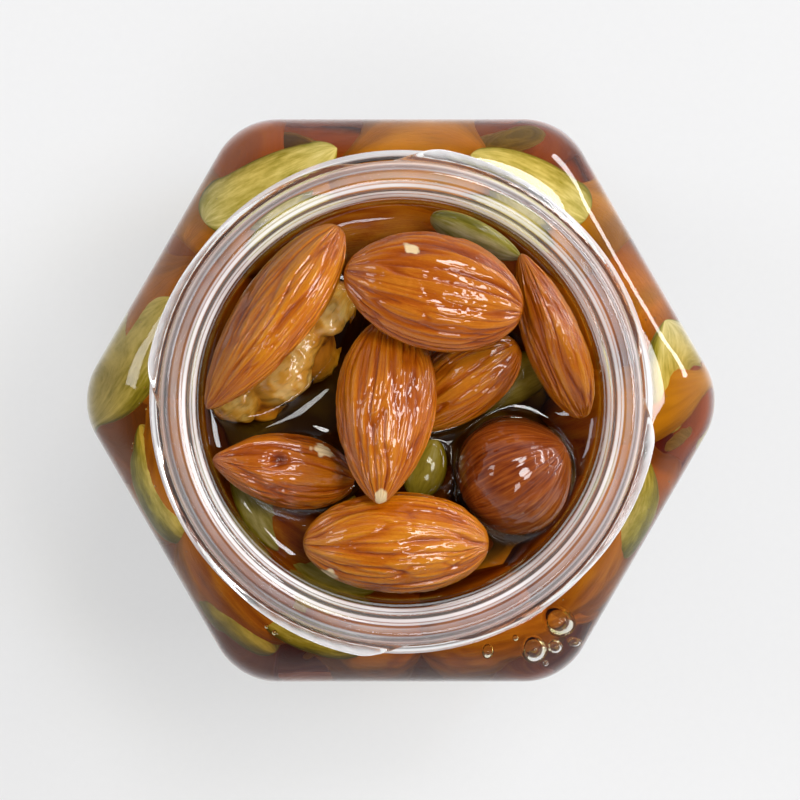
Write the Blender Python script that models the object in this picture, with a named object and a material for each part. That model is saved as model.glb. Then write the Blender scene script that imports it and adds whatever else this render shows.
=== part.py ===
"""An open hexagonal jar with a round threaded neck, filled with nuts and seeds that lie in honey.

Millimetres are used for every size, and MM turns them into Blender's metres. The origin is the
centre of the base, +Z is up, +X and +Y are the right and the top of the jar seen from above.
"""

import math

import bmesh
import bpy
import numpy as np
from mathutils import Matrix

MM = 0.001
GAP = 0.35                   # clearance between two solids
WALL_GAP = 0.4               # clearance of the heap's pieces to the glass

# The glass.
ACROSS_FLATS = 66.4
CORNER_R = 8.2
HEIGHT = 83.0
WALL = 2.4
BASE = 4.0
RECESS = 0.9                 # hollow in the underside
FOOT_IN = 6.5                # from the outer wall to the inside of the ring that it stands on
HEEL_R = 3.4
WALL_TOP = 60.0              # where the straight wall ends and the shoulder begins
NECK_FOOT = 66.6
NECK_R = 27.4
BORE_R = 23.3
LIP_OUT = 1.4                # rounding of the lip's outer edge
LIP_IN = 2.2
BEAD_Z = 72.9                # ring round the neck under the thread
BEAD_R = 29.0
BEAD_HALF = 1.5
THREAD_STARTS = 4
THREAD_FIRST = 94.0          # degrees, where one of the four starts is
THREAD_SPAN = 86.0
THREAD_Z = 80.2
THREAD_DROP = 3.4
THREAD_HALF = 1.35
THREAD_DEPTH = 1.8
THREAD_TAIL = 0.75
THREAD_RISE = 7.0            # degrees over which a lobe stands up at its blunt start
THREAD_FADE = 12.0           # degrees over which it sinks at its end
THREAD_END = 0.2             # share of its depth that is left there
THREAD_FLANK = 1.4           # steepness of its two sides
INNER_HEEL_R = 2.8
INNER_TOP = WALL_TOP - 1.2   # where the inner wall ends
INNER_FOOT = NECK_FOOT - 2.16
LEAST_CORNER = 1.6           # corner radius of the rings near the middle of the base
THREAD_ROWS = 7

# Steps round the jar: of each sixth, so many on the corner's arc and the rest on the flat.
SECTOR = 10
ARC = 6
ROUND = 6 * SECTOR

# The heap: a smaller core with the pieces that show fused to it.
CORE_IN = 7.4                # from the inner wall to the core
CORE_R = 5.0
CORE_FOOT = 8.2
CORE_TOP = 57.5
ROWS = 4
ROW_FOOT = 10.5
ROW_STEP = 12.0
ROW_TOP = 53.0               # no piece of the rows stands higher
ROW_SHIFT = 0.12             # how far a place may shift, as a share of the way round
ROW_SPIN = 32.0              # degrees by which a piece may lean
ROW_LIFT = 1.2
PER_ROW = 7
ALMONDS = 0.70               # share of almonds in the rows; then the share up to the hazelnuts
HAZELNUTS = 0.84
ROW_IN = 4.8                 # from the inner wall to the middle of a piece in a row
BASE_PIECES = 7              # one in the middle of the base and the rest in a ring round it
BASE_OUT = 15.0
BASE_Z = 8.6
BASE_FIRST = 15.0            # degrees
SEEDS_PER_ROW = 4
SEED_IN = 2.2
SEED_FIRST = 0.3
SEED_SHIFT = 0.1
SETTLE_STEPS = 60
PUSH = 0.25                  # share of an overlap that one step of settling takes away
PULL = 0.6                   # most that one step moves a piece out to the wall
FLOOR_GAP = 1.2
WALL_TURNS = 10              # degrees between the ways in which the wall is felt
CLOSE = 4                    # times that a shown piece is moved in from the wall
NEAR_TOP = 8.0               # pieces this far under the core's top may carry the top ones
STEP_UP = 0.1
LOBES_OUT = 1.1              # how far a walnut's lobes stand past its plain form
DRAW = 11                    # seed of the random draws

# Each kind of piece: length, width, thickness, and the powers that round its two ends.
KINDS = {
    "almond": dict(size=(22.0, 12.4, 8.0), blunt=0.50, tip=0.66, power=1.0),
    "plump almond": dict(size=(22.0, 13.0, 8.0), blunt=0.50, tip=0.54, power=1.0),
    "hazelnut": dict(size=(15.6, 14.0, 14.0), blunt=0.50, tip=0.56, power=1.0),
    "seed": dict(size=(14.5, 7.6, 2.8), blunt=0.50, tip=0.66, power=0.8),
    "walnut": dict(size=(24.0, 17.0, 11.0), blunt=0.46, tip=0.46, power=1.0),
}

# Facets along and round a piece, in the heap and at the top.
HEAP_FACETS = {"almond": (6, 7), "seed": (4, 6)}
TOP_FACETS = {"almond": (9, 11), "seed": (6, 9), "walnut": (11, 16)}

# Sunk pieces of the heap that are seen through the mouth and the shoulder:
# kind, x, y, z, heading of the tip, pitch, roll, length, width, thickness.
SHOWN = (
    ("almond", -2.6, 19.6, 60.4, 10, 0, 20, 19.6, 10.2, 7.4),
    ("almond", -14.0, -15.4, 60.2, 145, -8, 0, 19.0, 10.5, 7.4),
    ("almond", 20.0, -0.6, 56.6, 100, 0, -20, 18.0, 10.0, 7.2),
    ("almond", 1.6, -9.3, 57.6, 170, 0, 0, 16.0, 9.5, 6.5),
    ("almond", 13.5, 10.5, 58.0, 130, 0, 0, 21.0, 11.5, 7.4),
    ("almond", 0.0, 5.0, 58.4, 75, 0, 0, 20.0, 11.0, 7.4),
    ("almond", 1.5, -17.5, 59.6, 5, 0, 0, 19.0, 10.5, 7.2),
    ("seed", -16.8, -12.6, 62.4, 120, 0, 30, 12.0, 6.0, 2.8),
    ("seed", 13.0, 2.6, 60.6, 20, 0, -10, 12.5, 6.4, 2.8),
    ("seed", -8.6, -19.6, 62.6, 155, 0, 10, 12.5, 6.4, 2.8),
    ("seed", -8.4, -15.6, 61.6, 60, 0, 50, 11.0, 6.0, 2.8),
    ("almond", 1.6, 24.4, 58.0, 178, 0, 30, 22.0, 11.4, 7.8),
    ("almond", 15.6, 21.4, 57.4, 150, 0, 20, 20.0, 11.0, 7.8),
    ("almond", -14.4, 21.6, 57.0, 30, 0, -20, 20.0, 11.0, 7.8),
    ("almond", 26.0, -1.0, 57.0, 20, 0, 10, 19.0, 11.0, 7.6),
    ("almond", 20.6, -17.4, 57.0, 60, 0, -25, 21.0, 11.4, 7.8),
    ("almond", 11.0, -25.0, 57.4, 10, 0, -30, 20.0, 11.0, 7.6),
    ("almond", -6.0, -24.4, 57.0, 172, 0, 25, 20.0, 11.0, 7.8),
    ("almond", -20.0, -20.4, 57.4, 128, 0, 25, 20.0, 11.0, 7.6),
    ("almond", -26.0, -6.0, 56.4, 100, 0, 30, 21.0, 11.0, 7.8),
    ("almond", -24.2, 8.6, 56.8, 60, 0, -25, 21.0, 11.4, 7.8),
    ("seed", -14.8, 24.6, 60.4, 30, 0, -32, 17.0, 8.0, 2.8),
    ("seed", 14.6, 24.6, 60.4, 150, 0, 32, 15.0, 8.0, 2.8),
    ("seed", 31.6, 3.4, 57.4, 95, 20, 68, 13.0, 7.0, 2.8),
    ("seed", 27.4, -13.4, 57.1, 62, 0, -40, 14.0, 7.4, 2.8),
    ("seed", -9.8, -25.8, 59.2, 170, 0, 30, 14.5, 7.6, 2.8),
    ("seed", -19.4, -24.4, 57.6, 130, 0, 40, 12.5, 7.0, 2.8),
    ("seed", -28.0, -10.2, 57.1, 118, 0, 45, 15.0, 7.6, 2.8),
    ("seed", -31.0, 5.6, 57.4, 62, 12, -60, 16.0, 8.0, 2.8),
)

# Pieces that stand at the top, in the order in which they lie on each other:
# kind, x, y, the lowest that the middle lies, heading, pitch, roll, then length, width, thickness.
TOP = {
    "hazelnut": ("hazelnut", 13.4, -8.6, 65.2, 30, 15, 0, (13.6, 14.6, 13.6)),
    "walnut_half": ("walnut", -13.9, 5.9, 62.4, 225, 0, 0, (21.5, 11.2, 7.8)),
    "almond_lower_left": ("almond", -13.7, -8.0, 66.6, 171, 18, 0, (17.4, 9.3, 7.4)),
    "almond_middle_right": ("almond", 6.5, 1.8, 65.0, 214, -12, 10, (17.6, 9.4, 6.8)),
    "almond_right": ("almond", 17.5, 7.6, 69.4, 111, 12, -66, (20.8, 10.0, 6.6)),
    "almond_bottom": ("plump almond", -0.6, -16.4, 69.1, 180, 0, 6, (21.6, 12.6, 8.0)),
    "pumpkin_seed_middle": ("seed", 2.9, -7.8, 63.8, 70, 0, 0, (7.0, 4.8, 2.6)),
    "almond_centre": ("almond", -1.8, -1.0, 70.5, 266, 12, 0, (22.0, 12.0, 7.6)),
    "almond_left": ("almond", -14.8, 9.7, 71.0, 234, 0, 50, (26.0, 11.2, 7.6)),
    "almond_top": ("plump almond", 3.7, 12.7, 73.0, 167, 0, 0, (21.0, 13.8, 7.0)),
    "pumpkin_seed_top": ("seed", 8.7, 19.1, 68.4, -25, 0, 66, (11.6, 6.8, 2.8)),
}

FINISH = {
    "jar": ((0.90, 0.92, 0.90), 0.02),
    "almond": ((0.45, 0.17, 0.05), 0.35),
    "hazelnut": ((0.26, 0.09, 0.035), 0.35),
    "seed": ((0.27, 0.29, 0.05), 0.35),
    "walnut": ((0.50, 0.29, 0.11), 0.40),
    "heap": ((0.36, 0.13, 0.04), 0.40),
}


def clear_scene():
    for obj in list(bpy.data.objects):
        bpy.data.objects.remove(obj, do_unlink=True)


def material(name):
    colour, roughness = FINISH[name]
    made = bpy.data.materials.new(name)
    made.use_nodes = True
    shader = made.node_tree.nodes["Principled BSDF"]
    shader.inputs["Base Color"].default_value = (*colour, 1.0)
    shader.inputs["Roughness"].default_value = roughness
    shader.inputs["Metallic"].default_value = 0.0
    return made


def add_object(name, points, faces, finish):
    """One mesh object from points in millimetres, its faces turned outwards and shaded smooth."""
    mesh = bpy.data.meshes.new(name)
    mesh.from_pydata([tuple(p) for p in np.asarray(points) * MM], [], faces)
    work = bmesh.new()
    work.from_mesh(mesh)
    bmesh.ops.recalc_face_normals(work, faces=work.faces)
    work.to_mesh(mesh)
    work.free()
    mesh.shade_smooth()
    mesh.set_sharp_from_angle(angle=math.radians(50))
    obj = bpy.data.objects.new(name, mesh)
    obj.data.materials.append(finish)
    bpy.context.scene.collection.objects.link(obj)
    return obj


def skin(rows, across):
    """Faces over rows of points: row 0 and the last are single points, the rest have `across`."""
    faces = []
    for i in range(across):
        j = (i + 1) % across
        faces.append((0, 1 + j, 1 + i))
    for k in range(rows - 1):
        a = 1 + k * across
        for i in range(across):
            j = (i + 1) % across
            faces.append((a + i, a + j, a + across + j, a + across + i))
    end = 1 + rows * across
    last = end - across
    for i in range(across):
        faces.append((end, last + i, last + (i + 1) % across))
    return faces


# The jar

def hex_ring(apothem, corner):
    """Points round a hexagon with rounded corners, ARC steps on each corner's arc."""
    reach = (apothem - corner) / math.cos(math.pi / 6)
    points = []
    for k in range(6):
        middle = k * math.pi / 3
        centre = np.array([reach * math.cos(middle), reach * math.sin(middle)])
        turns = [middle - math.pi / 6 + math.pi / 3 * i / ARC for i in range(ARC + 1)]
        arc = [centre + corner * np.array([math.cos(t), math.sin(t)]) for t in turns]
        points += arc
        after = middle + math.pi / 3
        beyond = np.array([reach * math.cos(after), reach * math.sin(after)])
        start = beyond + corner * np.array([math.cos(turns[-1]), math.sin(turns[-1])])
        flat = SECTOR - ARC
        points += [arc[-1] + (start - arc[-1]) * i / flat for i in range(1, flat)]
    return np.array(points)


def ring_angles():
    """The angle of each step on a circle, matched to hex_ring's points."""
    steps = [(i - ARC / 2) * 60 / SECTOR for i in range(SECTOR)]
    return np.radians([60 * k + step for k in range(6) for step in steps])


def circle(radius):
    turn = ring_angles()
    return np.stack([radius * np.cos(turn), radius * np.sin(turn)], axis=1)


def smooth(x):
    x = np.clip(x, 0, 1)
    return x * x * (3 - 2 * x)


def thread(z):
    """How far the four thread lobes stand out of the neck at height z, round the neck."""
    turn = np.degrees(ring_angles())
    out = np.zeros(len(turn))
    for k in range(THREAD_STARTS):
        along = (THREAD_FIRST - k * 360 / THREAD_STARTS - turn) % 360
        share = along / THREAD_SPAN
        depth = THREAD_DEPTH + (THREAD_TAIL - THREAD_DEPTH) * smooth(share)
        depth = depth * smooth(along / THREAD_RISE)
        depth = depth * smooth((THREAD_SPAN - along) / THREAD_FADE + THREAD_END)
        lift = 1 - np.abs(z - (THREAD_Z - THREAD_DROP * share)) / THREAD_HALF
        out = np.maximum(out, np.where(share < 1, depth * smooth(lift * THREAD_FLANK), 0))
    return out


def jar_rows():
    """The glass as rings, from the underside, up the outside, over the lip and down inside."""
    apothem = ACROSS_FLATS / 2
    inner = apothem - WALL
    inner_r = CORNER_R - WALL
    rows = []

    def hexagon(inset, z, flats=apothem, corner=CORNER_R):
        rows.append((hex_ring(flats - inset, max(corner - inset, LEAST_CORNER)), z))

    def blend(a, b, share, z):
        rows.append((a * (1 - share) + b * share, z))

    hexagon(FOOT_IN + 1.0, RECESS)
    hexagon(FOOT_IN, 0.0)
    for turn in (0, 30, 60, 90):
        t = math.radians(turn)
        hexagon(HEEL_R * (1 - math.sin(t)), HEEL_R * (1 - math.cos(t)))
    wall = hex_ring(apothem, CORNER_R)
    neck = circle(NECK_R)
    rows.append((wall, WALL_TOP))
    for turn in (22, 44, 66, 90):
        t = math.radians(turn)
        blend(wall, neck, 1 - math.cos(t), WALL_TOP + (NECK_FOOT - WALL_TOP) * math.sin(t))
    for side in (-1.0, -0.5, 0.5, 1.0):
        reach = BEAD_R if abs(side) < 1 else NECK_R
        rows.append((circle(reach), BEAD_Z + side * BEAD_HALF))
    low = THREAD_Z - THREAD_DROP - THREAD_HALF
    for k in range(THREAD_ROWS):
        z = low + (THREAD_Z + THREAD_HALF - low) * k / (THREAD_ROWS - 1)
        rows.append((circle(NECK_R + thread(z)), z))
    for turn in (0, 45, 90):
        t = math.radians(turn)
        ring = circle(NECK_R - LIP_OUT * (1 - math.cos(t)))
        rows.append((ring, HEIGHT - LIP_OUT * (1 - math.sin(t))))
    for turn in (90, 45, 0):
        t = math.radians(turn)
        ring = circle(BORE_R + LIP_IN * (1 - math.cos(t)))
        rows.append((ring, HEIGHT - LIP_IN * (1 - math.sin(t))))
    bore = circle(BORE_R)
    inside = hex_ring(inner, inner_r)
    for turn in (90, 66, 44, 22, 0):
        t = math.radians(turn)
        z = INNER_TOP + (INNER_FOOT - INNER_TOP) * math.sin(t)
        blend(inside, bore, 1 - math.cos(t), z)
    for turn in (90, 45, 0):
        t = math.radians(turn)
        inset = INNER_HEEL_R * (1 - math.sin(t))
        hexagon(inset, BASE + INNER_HEEL_R * (1 - math.cos(t)), inner, inner_r)
    return rows


def build_jar():
    rows = jar_rows()
    points = [(0.0, 0.0, RECESS)]
    for ring, z in rows:
        points += [(x, y, z) for x, y in ring]
    points.append((0.0, 0.0, BASE))
    return add_object("jar", points, skin(len(rows), ROUND), material("jar"))


# Nuts and seeds

def end_profile(s, kind):
    """Half width along the piece as a share of its widest: a power of the way from each end."""
    a, b = kind["blunt"], kind["tip"]
    peak = a / (a + b)
    return s ** a * (1 - s) ** b / (peak ** a * (1 - peak) ** b)


def walnut_lobes(s, turn):
    """Lobes of a walnut half: folds along and across it, and a groove down the middle."""
    folds = 0.11 * np.cos(5 * math.pi * s) * np.cos(3 * turn + 0.6)
    groove = -0.16 * np.exp(-((turn - math.pi / 2) / 0.35) ** 2)
    return 1 + folds + groove + 0.05 * np.cos(4 * turn + 7 * s)


def piece(kind_name, size, rings, across):
    """Points of one piece, its tip at +X and its flat side at +Z, as row arrays from end to end."""
    kind = KINDS[kind_name]
    length, width, thick = size
    s = (1 - np.cos(math.pi * np.arange(1, rings) / rings)) / 2
    turn = 2 * math.pi * np.arange(across) / across
    s, turn = np.meshgrid(s, turn, indexing="ij")
    half = end_profile(s, kind)
    if kind_name == "walnut":
        half = half * walnut_lobes(s, turn)
    x = (s - 0.5) * length
    y = width / 2 * half * np.cos(turn)
    z = thick / 2 * half ** kind["power"] * np.sin(turn)
    rows = np.stack([x, y, z], axis=-1).reshape(-1, 3)
    return np.vstack([[-length / 2, 0, 0], rows, [length / 2, 0, 0]])


def rough(kind_name, size):
    return piece(kind_name, size, 8, 10)


def fine(kind_name, size):
    return piece(kind_name, size, 16, 20)


def turned(heading, pitch, roll):
    """Rotation that points the tip along the heading, lifts it by the pitch, then rolls it."""
    turns = ((heading, "Z"), (-pitch, "Y"), (roll, "X"))
    whole = Matrix.Identity(3)
    for angle, axis in turns:
        whole = whole @ Matrix.Rotation(math.radians(angle), 3, axis)
    return np.array(whole)


def within(points, other, extra):
    """True where a point is inside another piece that is grown by `extra` on every side."""
    kind_name, place, rotation, size = other
    local = (points - place) @ rotation
    length, width, thick = (side + 2 * extra for side in size)
    s = np.clip(local[:, 0] / length + 0.5, 1e-6, 1 - 1e-6)
    half = end_profile(s, KINDS[kind_name]) * (LOBES_OUT if kind_name == "walnut" else 1.0)
    radial = (local[:, 1] / (width / 2 * half)) ** 2 + (local[:, 2] / (thick / 2 * half)) ** 2
    return (np.abs(local[:, 0]) < length / 2) & (radial < 1)


def come_down(kind_name, x, y, z, rotation, size, below):
    """Lowest height from z up at which a piece at x, y lies clear of the pieces below it."""
    shape = fine(kind_name, size) @ rotation.T
    others = [(o, fine(o[0], o[3]) @ o[2].T + o[1]) for o in below]
    while True:
        place = np.array([x, y, z])
        own = (kind_name, place, rotation, size)
        hit = any(within(shape + place, o, GAP).any() or within(mesh, own, GAP).any()
                  for o, mesh in others)
        if not hit:
            return z
        z += STEP_UP


# The heap

def support(turn, apothem, corner):
    """How far a rounded hexagon reaches in a direction."""
    reach = (apothem - corner) / math.cos(math.pi / 6)
    nearest = (turn + math.pi / 6) % (math.pi / 3) - math.pi / 6
    return reach * np.cos(nearest) + corner


def wall_point(share, apothem):
    """A point and the outward heading on a plain hexagon, at a share of its way round."""
    side, along = divmod(share * 6, 1)
    a, b = (np.array([math.cos(t), math.sin(t)]) * apothem / math.cos(math.pi / 6)
            for t in (side * math.pi / 3, (side + 1) * math.pi / 3))
    return a + (b - a) * along, math.degrees((side + 0.5) * math.pi / 3)


def leaning(facing, spin):
    """Rotation that lays a piece flat against the wall that faces this way, turned by the spin."""
    lean = Matrix.Rotation(math.radians(facing), 3, "Z") @ Matrix.Rotation(math.pi / 2, 3, "Y")
    return np.array(lean @ Matrix.Rotation(math.radians(spin), 3, "Z"))


def row_pieces(rng):
    """Rows of pieces flat against the wall, each turned a little, and a layer over the base."""
    found = []
    flat_wall = ACROSS_FLATS / 2 - WALL
    for row in range(ROWS):
        for k in range(PER_ROW):
            shift = 0.5 * (row % 2) + rng.uniform(-ROW_SHIFT, ROW_SHIFT)
            (x, y), facing = wall_point(((k + shift) / PER_ROW) % 1, flat_wall - ROW_IN)
            draw = rng.uniform()
            kind = "almond" if draw < ALMONDS else "hazelnut" if draw < HAZELNUTS else "walnut"
            grow = rng.uniform(0.90, 1.06)
            size = tuple(grow * side for side in KINDS[kind]["size"])
            spin = rng.uniform(-ROW_SPIN, ROW_SPIN) + 180 * (rng.uniform() < 0.5)
            z = ROW_FOOT + ROW_STEP * row + rng.uniform(-ROW_LIFT, ROW_LIFT)
            found.append([kind, np.array([x, y, z]), leaning(facing, 90 + spin), size])
    for k in range(BASE_PIECES):
        heading = k * 360 / (BASE_PIECES - 1) + BASE_FIRST if k else 0.0
        out = BASE_OUT if k else 0.0
        size = tuple(rng.uniform(0.88, 1.0) * side for side in KINDS["almond"]["size"])
        rotation = turned(heading + 90 + rng.uniform(-25, 25), 0, rng.uniform(-12, 12))
        turn = math.radians(heading)
        place = np.array([out * math.cos(turn), out * math.sin(turn), BASE_Z])
        found.append(["almond", place, rotation, size])
    return found


def seed_pieces(rng):
    """Seeds against the wall in the gaps between the rows."""
    found = []
    flat_wall = ACROSS_FLATS / 2 - WALL
    for row in range(ROWS):
        for k in range(SEEDS_PER_ROW):
            shift = 0.5 * (row % 2) + SEED_FIRST + rng.uniform(-SEED_SHIFT, SEED_SHIFT)
            (x, y), facing = wall_point(((k + shift) / SEEDS_PER_ROW) % 1, flat_wall - SEED_IN)
            rotation = leaning(facing, rng.uniform(0, 360))
            z = ROW_FOOT + ROW_STEP * (row + 0.5)
            found.append(["seed", np.array([x, y, z]), rotation, KINDS["seed"]["size"]])
    return found


def balls_of(entry):
    """Three balls along a piece that stand for it while the heap settles."""
    _, place, rotation, size = entry
    radius = (size[1] + size[2]) / 4
    reach = max(size[0] / 2 - radius, 0)
    centres = place + np.outer((-reach, 0, reach), rotation[:, 0])
    return centres, np.array((0.8, 1.0, 0.75)) * radius


def held_by_wall(entry, shape):
    """Move a piece that reaches into the wall back inside by the way that it passes it most."""
    turns = np.radians(np.arange(0, 360, WALL_TURNS))
    ways = np.stack([np.cos(turns), np.sin(turns)], axis=1)
    limit = support(turns, ACROSS_FLATS / 2 - WALL, CORNER_R - WALL) - WALL_GAP
    past = ((shape[:, :2] + entry[1][:2]) @ ways.T).max(0) - limit
    worst = int(past.argmax())
    pull = PULL if entry[1][2] < ROW_FOOT + ROW_STEP * ROWS else 0.0
    entry[1][:2] -= max(past[worst], -pull) * ways[worst]


def settle(pieces):
    """Push pieces that overlap apart, and back inside the wall, until little is left to move."""
    shapes = [rough(kind, size) @ rotation.T for kind, _, rotation, size in pieces]
    owner = np.repeat(np.arange(len(pieces)), 3)
    for _ in range(SETTLE_STEPS):
        balls = [balls_of(entry) for entry in pieces]
        centres = np.vstack([c for c, _ in balls])
        radii = np.concatenate([r for _, r in balls])
        apart = centres[:, None] - centres[None]
        far = np.sqrt((apart ** 2).sum(-1)) + 1e-9
        over = np.clip(radii[:, None] + radii[None] - far, 0, None)
        over[owner[:, None] == owner[None]] = 0
        push = (apart / far[..., None] * over[..., None]).sum(1) * PUSH
        for i, entry in enumerate(pieces):
            entry[1] = entry[1] + push[owner == i].sum(0)
            held_by_wall(entry, shapes[i])
            heights = shapes[i][:, 2] + entry[1][2]
            entry[1][2] += max(BASE + FLOOR_GAP - heights.min(), 0) - max(heights.max() - ROW_TOP, 0)
    return pieces


def heap_pieces():
    rng = np.random.default_rng(DRAW)
    pieces = settle(row_pieces(rng) + seed_pieces(rng))
    for kind, x, y, z, heading, pitch, roll, *size in SHOWN:
        entry = [kind, np.array([x, y, z]), turned(heading, pitch, roll), tuple(size)]
        for _ in range(CLOSE):
            held_by_wall(entry, rough(kind, entry[3]) @ entry[2].T)
        pieces.append(entry)
    return pieces


def build_heap(pieces):
    """The core and the pieces that show, joined into one solid."""
    finish = material("heap")
    parts = bpy.data.collections.new("heap_parts")
    core_flats = ACROSS_FLATS / 2 - WALL - CORE_IN
    rows = [(hex_ring(core_flats, CORE_R), CORE_FOOT), (hex_ring(core_flats, CORE_R), CORE_TOP)]
    points = [(0.0, 0.0, CORE_FOOT)]
    for ring, z in rows:
        points += [(x, y, z) for x, y in ring]
    points.append((0.0, 0.0, CORE_TOP))
    core = add_object("nut_heap", points, skin(len(rows), ROUND), finish)
    for number, (kind, place, rotation, size) in enumerate(pieces):
        rings, across = HEAP_FACETS.get(kind, HEAP_FACETS["almond"])
        shape = piece(kind, size, rings, across) @ rotation.T + place
        obj = add_object(f"heap_{number}", shape, skin(rings - 1, across), finish)
        bpy.context.scene.collection.objects.unlink(obj)
        parts.objects.link(obj)
    bpy.context.scene.collection.children.link(parts)
    join = core.modifiers.new("join", "BOOLEAN")
    join.operation = "UNION"
    join.operand_type = "COLLECTION"
    join.collection = parts
    join.solver = "EXACT"
    graph = bpy.context.evaluated_depsgraph_get()
    joined = bpy.data.meshes.new_from_object(core.evaluated_get(graph))
    core.modifiers.clear()
    core.data = joined
    for obj in list(parts.objects):
        bpy.data.objects.remove(obj, do_unlink=True)
    bpy.data.collections.remove(parts)
    drop_scraps(joined)
    return core


def drop_scraps(mesh):
    """Keep only the largest closed shell of a joined mesh."""
    work = bmesh.new()
    work.from_mesh(mesh)
    left = set(work.verts)
    shells = []
    while left:
        shell, edge = set(), [left.pop()]
        while edge:
            vert = edge.pop()
            shell.add(vert)
            near = {e.other_vert(vert) for e in vert.link_edges} & left
            left -= near
            edge += near
        shells.append(shell)
    shells.sort(key=len)
    for shell in shells[:-1]:
        bmesh.ops.delete(work, geom=list(shell), context="VERTS")
    work.to_mesh(mesh)
    work.free()


def build_top(pieces):
    """Each piece at the top comes down on the heap and on those placed before it."""
    finishes = {kind: material(kind.split()[-1]) for kind in KINDS}
    lying = [entry for entry in pieces if entry[1][2] > CORE_TOP - NEAR_TOP]
    for name, (kind, x, y, level, heading, pitch, roll, size) in TOP.items():
        rotation = turned(heading, pitch, roll)
        z = come_down(kind, x, y, level, rotation, size, lying)
        place = np.array([x, y, z])
        rings, across = TOP_FACETS.get(kind, TOP_FACETS["almond"])
        shape = piece(kind, size, rings, across) @ rotation.T + place
        add_object(name, shape, skin(rings - 1, across), finishes[kind])
        lying.append([kind, place, rotation, size])
        print(name, "z", round(z, 2), "top", round(shape[:, 2].max(), 2),
              "reach", round(float(np.hypot(shape[:, 0], shape[:, 1]).max()), 2))


def main():
    clear_scene()
    build_jar()
    pieces = heap_pieces()
    build_heap(pieces)
    build_top(pieces)


main()
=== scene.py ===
# An open hexagonal jar of nuts and seed kernels in honey. Sizes are in millimetres, angles in degrees.
import math

import bpy
import numpy as np
from mathutils import Matrix, Vector


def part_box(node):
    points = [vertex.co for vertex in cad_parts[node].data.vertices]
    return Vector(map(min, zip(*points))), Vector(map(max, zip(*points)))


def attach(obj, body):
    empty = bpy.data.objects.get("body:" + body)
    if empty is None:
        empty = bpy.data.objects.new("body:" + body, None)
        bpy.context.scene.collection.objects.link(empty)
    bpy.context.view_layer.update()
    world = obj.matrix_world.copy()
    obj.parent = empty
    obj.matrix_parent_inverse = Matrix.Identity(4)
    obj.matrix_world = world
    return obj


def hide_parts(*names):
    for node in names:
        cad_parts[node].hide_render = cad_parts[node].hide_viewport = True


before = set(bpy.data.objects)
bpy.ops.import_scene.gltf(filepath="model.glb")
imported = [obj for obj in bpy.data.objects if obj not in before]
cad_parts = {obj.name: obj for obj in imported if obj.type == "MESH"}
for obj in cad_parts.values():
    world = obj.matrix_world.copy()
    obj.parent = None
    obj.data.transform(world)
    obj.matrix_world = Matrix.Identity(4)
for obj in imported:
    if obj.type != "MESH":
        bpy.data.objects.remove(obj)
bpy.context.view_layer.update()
mm = 0.001
print("frame loaded:", len(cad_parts), "nodes")


def smooth(x):
    # x squared times 3 minus 2x, held between 0 and 1
    x = np.clip(x, 0, 1)
    return x * x * (3 - 2 * x)


def noise(places, seed):
    # Smooth values from 0 to 1: random numbers at whole places, blended with smooth steps between.
    table = np.random.default_rng(seed).random((32, 32, 32))
    low = np.floor(places).astype(int)
    part = smooth(places - low)
    total = 0
    for corner in np.ndindex(2, 2, 2):
        at = (low + corner) % 32
        share = np.prod(np.where(corner, part, 1 - part), axis=-1)
        total = total + share * table[at[..., 0], at[..., 1], at[..., 2]]
    return total


def skinFaces(rows, across, start=0):
    # Quads between neighbouring rings, and a fan to the point at each end.
    i = np.arange(across)
    j = (i + 1) % across
    end = 1 + rows * across
    first = np.stack([0 * i, 1 + j, 1 + i], 1)
    ring = 1 + across * np.arange(rows - 1)[:, None]
    quads = np.stack([ring + i, ring + j, ring + across + j, ring + across + i], -1).reshape(-1, 4)
    last = np.stack([0 * i + end, end - across + i, end - across + j], 1)
    return [first + start, quads + start, last + start]


def makePiece(name, points, faces, finish, replaced=(), marks=None):
    # One mesh that rides on the jar. Marks are values for each point that its finish reads.
    mesh = bpy.data.meshes.new(name)
    counts = np.concatenate([np.full(len(f), f.shape[1]) for f in faces])
    corners = np.concatenate([f.ravel() for f in faces])
    mesh.vertices.add(len(points))
    mesh.vertices.foreach_set("co", (np.asarray(points) * mm).ravel())
    mesh.loops.add(len(corners))
    mesh.loops.foreach_set("vertex_index", corners)
    mesh.polygons.add(len(counts))
    mesh.polygons.foreach_set("loop_start", np.cumsum(counts) - counts)
    mesh.update(calc_edges=True)
    mesh.shade_smooth()
    for mark, values in (marks or {}).items():
        vector = values.ndim == 2
        made = mesh.attributes.new(mark, "FLOAT_VECTOR" if vector else "FLOAT", "POINT")
        made.data.foreach_set("vector" if vector else "value", values.ravel())
    mesh.materials.append(finish)
    piece = bpy.data.objects.new(name, mesh)
    bpy.context.scene.collection.objects.link(piece)
    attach(piece, "root")
    if replaced:
        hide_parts(*replaced)
    return piece


# Finishes

def colour(code):
    # A colour written as on a web page, turned into the linear values that shaders take.
    parts = [int(code[k:k + 2], 16) / 255 for k in (0, 2, 4)]
    return tuple(p / 12.92 if p <= 0.04045 else ((p + 0.055) / 1.055) ** 2.4 for p in parts)


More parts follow.
